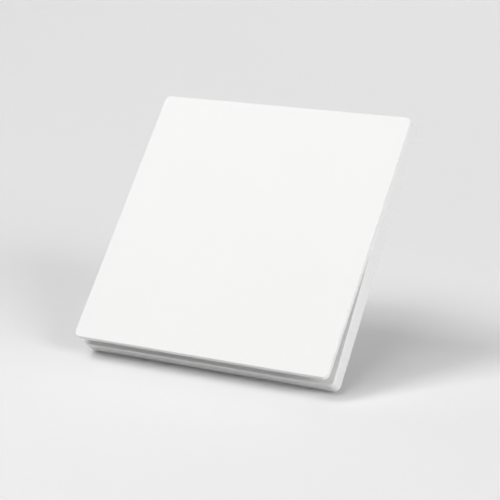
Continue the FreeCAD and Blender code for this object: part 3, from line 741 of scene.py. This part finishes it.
tantalum = Finish("capacitor_tan")
tan_clouds = tantalum.noise(700.0, detail=2.0, seed=2.0)
low, high = tanks
back, front = -high.y, -low.y
band_height = 0.0012
in_band = tantalum.along("Z") > high.z - band_height
tan_body = tantalum.blend(tan_clouds, (0.56, 0.29, 0.055), (0.50, 0.25, 0.045))
tantalum.colour(tantalum.blend(in_band, tan_body, (0.13, 0.055, 0.020)))
tantalum.roughness(0.42 + 0.12 * tan_clouds)
tantalum.bump(tantalum.noise(4200.0, detail=2.0, seed=3.0), 0.000008)
left, right = low.x, low.x + block_width
block_inset = 0.0001
block_draft = (0.94, 1.0, 0.965)
block = slab(left, right, low.z + block_inset, high.z - block_inset, back + block_inset, front)
pick(block, facing_room)
bpy.ops.transform.resize(value=block_draft)
bpy.ops.object.mode_set(mode="OBJECT")
soften(block, width=0.00012, segments=2)
block.data.materials.append(tantalum.material)
tab_half = 0.0012
tab_sheet = 0.00012
tab_reach = 0.0011
tab_rise = 0.0009
tab_left = (left + right) / 2 - tab_half
tab_right = (left + right) / 2 + tab_half
tabs = []
for bottom, top, end in ((low.z, low.z + tab_reach, low.z),
                         (high.z - tab_reach, high.z, high.z - tab_sheet)):
    tabs.append(slab(tab_left, tab_right, bottom, top, back, back + tab_sheet))
    tabs.append(slab(tab_left, tab_right, end, end + tab_sheet, back, back + tab_rise))
tab_set = joined(tabs)
tab_set.data.materials.append(tin)
tank_pieces = repeated(joined([block, tab_set]), [(high.x - block_width - low.x, 0.0)])
settle(joined(tank_pieces), "tantalum_blocks", None, "base", "capacitor_tan", "storage_capacitors")


# The chip capacitors: a row of small blocks of fired ceramic, with tinned caps dipped over both ends.
# The caps are soldered to the board's pads.

fired = moulded("ceramic_tan", (0.40, 0.27, 0.16), (0.33, 0.21, 0.12),
                grain=0.000006, roughness=0.40, wave=4000.0)
low, high = small
back, front = -high.y, -low.y
cap_proud = 0.00003
core_inset = 0.0001
core_lift = 0.00002
core = slab(low.x + cap_proud, low.x + chip_width - cap_proud, low.z + core_inset, high.z - core_inset,
            back + core_lift, front - cap_proud)
soften(core, width=0.00004, segments=2)
core.data.materials.append(fired)
cap_height = 0.00028
cap = slab(low.x, low.x + chip_width, low.z, low.z + cap_height, back, front)
soften(cap, width=0.00006, segments=2)
cap.data.materials.append(tin)
caps = repeated(cap, [(0.0, high.z - low.z - cap_height)])
chips = repeated(joined([core] + caps), [(number * chip_step, 0.0) for number in range(1, chip_count)])
settle(joined(chips), "ceramic_chips", None, "base", "ceramic_tan", "chip_capacitors")


# The inductor: a drum and its square foot, pressed and sintered from ferrite, wound with two layers
# of enamelled wire and soldered to the board.

ferrite = moulded("ferrite", (0.030, 0.030, 0.031), (0.048, 0.047, 0.046),
                  grain=0.000012, roughness=0.62, wave=2600.0)
low, high = coil
middle = (low + high) / 2
back, front = -high.y, -low.y
foot_height = 0.00045
foot = slab(low.x, high.x, low.z, high.z, back, back + foot_height)
soften(foot, width=0.00025, segments=3)
drum_radius = 0.0016
hub_radius = drum_radius * 0.70
rear_flange_start = back + 0.0004
hub_start = back + 0.0005
rear_flange_end = back + 0.0006
front_flange_start = front - 0.0003
hub_end = front - 0.0001
rear_flange = rod(drum_radius, rear_flange_start, rear_flange_end, middle.x, middle.z)
hub = rod(hub_radius, hub_start, hub_end, middle.x, middle.z)
front_flange = rod(drum_radius, front_flange_start, front, middle.x, middle.z)
for part in (rear_flange, hub, front_flange):
    soften(part, width=0.00005)
drum = joined([foot, rear_flange, hub, front_flange])
drum.data.materials.clear()
drum.data.materials.append(ferrite)
wound = []
drum_wire = 0.00010
layer_turns = 4
first_turn = high.y - 0.00072
for layer in range(2):
    bpy.ops.mesh.primitive_torus_add(major_segments=48, minor_segments=8, minor_radius=drum_wire,
                                     major_radius=hub_radius + drum_wire * (1 + 2 * layer),
                                     rotation=(math.pi / 2, 0.0, 0.0),
                                     location=(middle.x, first_turn, middle.z))
    turn = joined([bpy.context.object])
    bpy.ops.object.shade_smooth()
    laid_turns = repeated(turn, [(0.0, 0.0)] * (layer_turns - 1))
    for number, copy in enumerate(laid_turns):
        copy.location.y = -number * 2 * drum_wire
    wound += laid_turns
drum_winding = joined(wound)
drum_winding.data.materials.append(enamel.material)
settle(joined([drum, drum_winding]), "drum_inductor", None, "base", "chip_black", "inductor")


# The antenna: a meander stamped from thin tinned sheet. It lies flat near the board's edge
# and is soldered to a pad at one end.

settle(edged("antenna", width=0.00003), "stamped_antenna", tin, "base", "tinned_pin", "antenna")


# The press lever: a U moulded in black nylon, held by two trunnions and pushed by the rocker's boss.
# Its bar bends the armature's leaf.

press_lever = edged("press_lever", width=0.00008)
settle(press_lever, "press_lever_moulding", nylon, "lever", "lever_plastic", "press_lever")


# The inner cover: a thin moulded plate of grey ABS that closes the mechanism, with a window for the
# rocker's boss and four bosses that the screws bite into.

cover_grey = moulded("cover_grey", (0.35, 0.36, 0.37), (0.31, 0.32, 0.33),
                     grain=0.000010, roughness=0.48, wave=4200.0)
inner_cover = edged("inner_cover", width=0.00008)
settle(inner_cover, "inner_cover_moulding", cover_grey, "base", "cover_grey", "inner_cover")


# The cover screws: four small countersunk steel screws, zinc plated, with a rolled thread and
# a pressed cross recess, driven in from behind.

zinc = rolled("zinc_steel", (0.66, 0.66, 0.64), (0.50, 0.50, 0.50),
              roughness=0.26, stretch=(1.0, 1.0, 1.0), wave=2400.0, depth=0.000004)
low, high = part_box("cover_screws")
head_radius = 0.0016
shank_radius = 0.00062
thread_radius = 0.0008
head_back = -high.y
head_height = 0.0009
head_rim = 0.00008
tip_front = -low.y
tip_length = 0.0004
tip_radius = shank_radius * 0.55
profile = [(0.0, head_back), (head_radius - head_rim, head_back), (head_radius, head_back + head_rim),
           (shank_radius, head_back + head_height), (shank_radius, tip_front - tip_length),
           (tip_radius, tip_front), (0.0, tip_front)]


def lathed(outline, x, z):
    """A turned piece from its outline, each point given by its radius and depth."""
    mesh = bpy.data.meshes.new("lathed")
    mesh.from_pydata([(radius, -depth, 0.0) for radius, depth in outline],
                     [(i, i + 1) for i in range(len(outline) - 1)], [])
    piece = bpy.data.objects.new("lathed", mesh)
    bpy.context.scene.collection.objects.link(piece)
    only(piece)
    bpy.ops.object.mode_set(mode="EDIT")
    bpy.ops.mesh.select_all(action="SELECT")
    bpy.ops.mesh.spin(steps=48, angle=2 * math.pi, center=(0.0, 0.0, 0.0), axis=(0.0, 1.0, 0.0))
    bpy.ops.mesh.select_all(action="SELECT")
    bpy.ops.mesh.remove_doubles(threshold=1e-7)
    bpy.ops.mesh.normals_make_consistent(inside=False)
    bpy.ops.object.mode_set(mode="OBJECT")
    piece.location = (x, 0.0, z)
    return joined([piece])


x, z = low.x + head_radius, low.z + head_radius
screw = lathed(profile, x, z)
recess_width = 0.0017
recess_slot = 0.0004
recess_depth = 0.0006
recess_taper = 0.45
for turn in (0.0, math.pi / 2):
    bpy.ops.mesh.primitive_cube_add(size=1.0, location=(x, -head_back, z), rotation=(0.0, turn, 0.0))
    wing = bpy.context.object
    wing.scale = (recess_width, 2 * recess_depth, recess_slot)
    wing = joined([wing])
    pick(wing, facing_room)
    bpy.ops.transform.resize(value=(recess_taper, 1.0, recess_taper),
                             center_override=(x, -head_back - recess_depth, z))
    bpy.ops.object.mode_set(mode="OBJECT")
    cut(screw, [wing])
smooth(screw, up_to=30.0)
thread_pitch = 0.0005
thread_start = head_back + head_height + 0.0001
thread_root = shank_radius + 0.00004
thread_end = tip_front - 0.0003
rounds = int((thread_end - head_back - head_height) / thread_pitch)
steps_each = 20
curve = bpy.data.curves.new("thread", "CURVE")
curve.dimensions = "3D"
curve.bevel_depth = (thread_radius - shank_radius) * 0.75
curve.bevel_resolution = 0
curve.use_fill_caps = True
helix = curve.splines.new("POLY")
helix.points.add(rounds * steps_each)
for number in range(rounds * steps_each + 1):
    angle = 2 * math.pi * number / steps_each
    depth = thread_start + thread_pitch * number / steps_each
    helix.points[number].co = (x + thread_root * math.cos(angle), -depth,
                               z + thread_root * math.sin(angle), 1.0)
thread = bpy.data.objects.new("thread", curve)
bpy.context.scene.collection.objects.link(thread)
only(thread)
bpy.ops.object.convert(target="MESH")
bpy.ops.object.shade_smooth()
across = high.x - low.x - 2 * head_radius
up = high.z - low.z - 2 * head_radius
screws = repeated(joined([screw, bpy.context.object]), [(0.0, up), (across, 0.0), (across, up)])
settle(joined(screws), "countersunk_screws", zinc, "base", "zinc_steel", "cover_screws")


# The adhesive pads: two strips of white foam tape in pockets of the back, each still under its
# paper liner, which is peeled off before the switch is stuck to a wall.

foam = Finish("foam_tape", Sheen_Weight=0.1)
cells = foam.node("ShaderNodeTexVoronoi", {}, {"Vector": foam.place, "Scale": 5200.0})["Distance"]
foam.colour(foam.blend(cells, (0.70, 0.70, 0.68), (0.80, 0.80, 0.78)))
foam.roughness(0.80 + 0.15 * cells)
foam.bump(cells, 0.00004)
liner = Finish("tape_liner", Coat_Weight=0.25, Coat_Roughness=0.3)
fibres = liner.noise(1400.0, detail=4.0, seed=5.0, stretch=(0.25, 1.0, 1.0))
liner.colour(liner.blend(fibres, (0.60, 0.64, 0.66), (0.55, 0.59, 0.62)))
liner.roughness(0.34 + 0.18 * fibres)
liner.bump(fibres, 0.000006)
low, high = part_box("adhesive_pads")
liner_sheet = 0.00009
tape_height = 0.014
foam_inset = 0.00015
tape_corner = 0.0011
tape = []
for back, front, inset, tone in ((liner_sheet, -low.y, foam_inset, foam.material),
                                 (0.0, liner_sheet, 0.0, liner.material)):
    strip = slab(low.x + inset, high.x - inset, low.z + inset, low.z + tape_height - inset, back, front)
    points = strip.data.vertices
    half_sheet = (front - back) / 2
    across_sheet = [edge.index for edge in strip.data.edges
                    if abs((points[edge.vertices[0]].co - points[edge.vertices[1]].co).y) > half_sheet]
    only(strip)
    bpy.ops.object.mode_set(mode="EDIT")
    bpy.ops.mesh.select_mode(type="EDGE")
    bpy.ops.mesh.select_all(action="DESELECT")
    bpy.ops.object.mode_set(mode="OBJECT")
    for index in across_sheet:
        strip.data.edges[index].select = True
    bpy.ops.object.mode_set(mode="EDIT")
    bpy.ops.mesh.bevel(offset=tape_corner, segments=6, affect="EDGES")
    bpy.ops.object.mode_set(mode="OBJECT")
    soften(strip, width=0.00002)
    strip.data.materials.append(tone)
    tape.append(strip)
tapes = repeated(joined(tape), [(0.0, high.z - low.z - tape_height)])
settle(joined(tapes), "foam_tapes", None, "base", "foam_tape", "adhesive_pads")


# The rocker: the square front plate, moulded in the same white ABS with a soft edge all round.
# Two pins at mid-height snap into the base; ribs stiffen it beneath, and a boss presses the lever.

rocker_white = moulded("rocker_white", (0.865, 0.865, 0.860), (0.855, 0.855, 0.849))
settle(from_frame("rocker"), "rocker_moulding", rocker_white, "rocker", "rocker_white", "rocker")


# The stage: a sheet of pale paper that lies flat under the switch, which stands tilted back on its lower
# edge, and rises in a sweep behind it. Soft square lamps and the camera stand round it.

floor_tilt = math.radians(37.526)
floor_up = Vector((0.0, -math.sin(floor_tilt), math.cos(floor_tilt)))
floor_behind = Vector((0.0, math.cos(floor_tilt), math.sin(floor_tilt)))
lower_edge = Vector((0.0, 0.0, -0.0430))
floor_drop = 0.0008
floor_point = lower_edge - floor_up * floor_drop


def on_stage(across, behind, above):
    """A point of the stage, measured from the edge that the switch stands on."""
    return floor_point + Vector((across, 0.0, 0.0)) + floor_behind * behind + floor_up * above


sweep_start = 0.16
sweep_radius = 0.85
sweep_turn = 24
floor_reach = 6.0
incline = 2.0
section = [(-floor_reach, 0.0), (sweep_start, 0.0)]
for degrees in range(1, sweep_turn + 1):
    turn = math.radians(degrees)
    section.append((sweep_start + sweep_radius * math.sin(turn), sweep_radius * (1.0 - math.cos(turn))))
section.append((section[-1][0] + incline * math.cos(turn), section[-1][1] + incline * math.sin(turn)))
bpy.ops.mesh.primitive_grid_add(x_subdivisions=1, y_subdivisions=len(section) - 1, size=2.0)
floor = bpy.context.object
floor.name = "floor"
corners = sorted(floor.data.vertices, key=lambda corner: corner.co.y)
for number, corner in enumerate(corners):
    behind, above = section[number // 2]
    corner.co = on_stage(math.copysign(floor_reach, corner.co.x), behind, above)
bpy.ops.object.shade_smooth()

paper = Finish("paper", 0.9)
rays = paper.node("ShaderNodeLightPath")
direct = rays["Is Camera Ray"] + rays["Is Glossy Ray"] + rays["Is Transmission Ray"]
sheet = paper.blend(paper.noise(60.0, detail=3.0), (0.965, 0.965, 0.965), (0.955, 0.955, 0.955))
paper.colour(paper.blend(direct, (0.80, 0.80, 0.80), sheet))
clear = paper.node("ShaderNodeBsdfTransparent")
beneath_floor = paper.node("ShaderNodeNewGeometry")["Backfacing"]
upper_side = Signal(paper, paper.shader.outputs["BSDF"])
one_sided = paper.node("ShaderNodeMixShader", {}, {0: beneath_floor, 1: upper_side, 2: clear["BSDF"]})
paper.feed(paper.tree.nodes["Material Output"].inputs["Surface"], one_sided["Shader"])
floor.data.materials.append(paper.material)

world = bpy.data.worlds.new("studio")
bpy.context.scene.world = world
world.use_nodes = True
studio = Graph(world.node_tree)
backdrop = studio.tree.nodes["Background"]
rays = studio.node("ShaderNodeLightPath")
seen = rays["Is Camera Ray"] + rays["Is Glossy Ray"] + rays["Is Transmission Ray"]
studio.feed(backdrop.inputs["Color"], (0.80, 0.80, 0.80))
studio.feed(backdrop.inputs["Strength"], studio.node("ShaderNodeClamp", {}, {"Value": seen})["Result"])


aim = on_stage(0.0, 0.03, 0.04)


def soft_lamp(name, place, size, power):
    """A square soft lamp that faces the switch."""
    data = bpy.data.lights.new(name, "AREA")
    data.shape = "SQUARE"
    data.size = size
    data.energy = power
    lamp = bpy.data.objects.new(name, data)
    bpy.context.scene.collection.objects.link(lamp)
    lamp.location = place
    lamp.rotation_euler = (aim - place).to_track_quat("-Z", "Y").to_euler()


soft_lamp("over_left", on_stage(-0.5, -0.35, 1.15), size=0.5, power=4.4)
soft_lamp("left_front", on_stage(-0.6, -0.6, 0.9), size=0.4, power=2.5)
soft_lamp("right_low", on_stage(1.2, -0.1, 0.3), size=0.5, power=2.65)
soft_lamp("overhead", on_stage(0.0, 0.3, 3.75), size=3.3, power=25.6)
soft_lamp("front", on_stage(0.0, -2.4, 3.0), size=1.8, power=26.0)
soft_lamp("right", on_stage(3.0, -1.35, 1.5), size=1.5, power=54.5)

camera = bpy.data.objects.new("camera", bpy.data.cameras.new("camera"))
bpy.context.scene.collection.objects.link(camera)
bpy.context.scene.camera = camera
camera.data.sensor_width = 36.0
camera.data.lens = 128.67
camera.location = (0.257118, -0.446863, -0.179559)
camera.rotation_euler = tuple(math.radians(turn) for turn in (109.8164, -17.2202, 23.8006))

bpy.context.scene.view_settings.view_transform = "Standard"
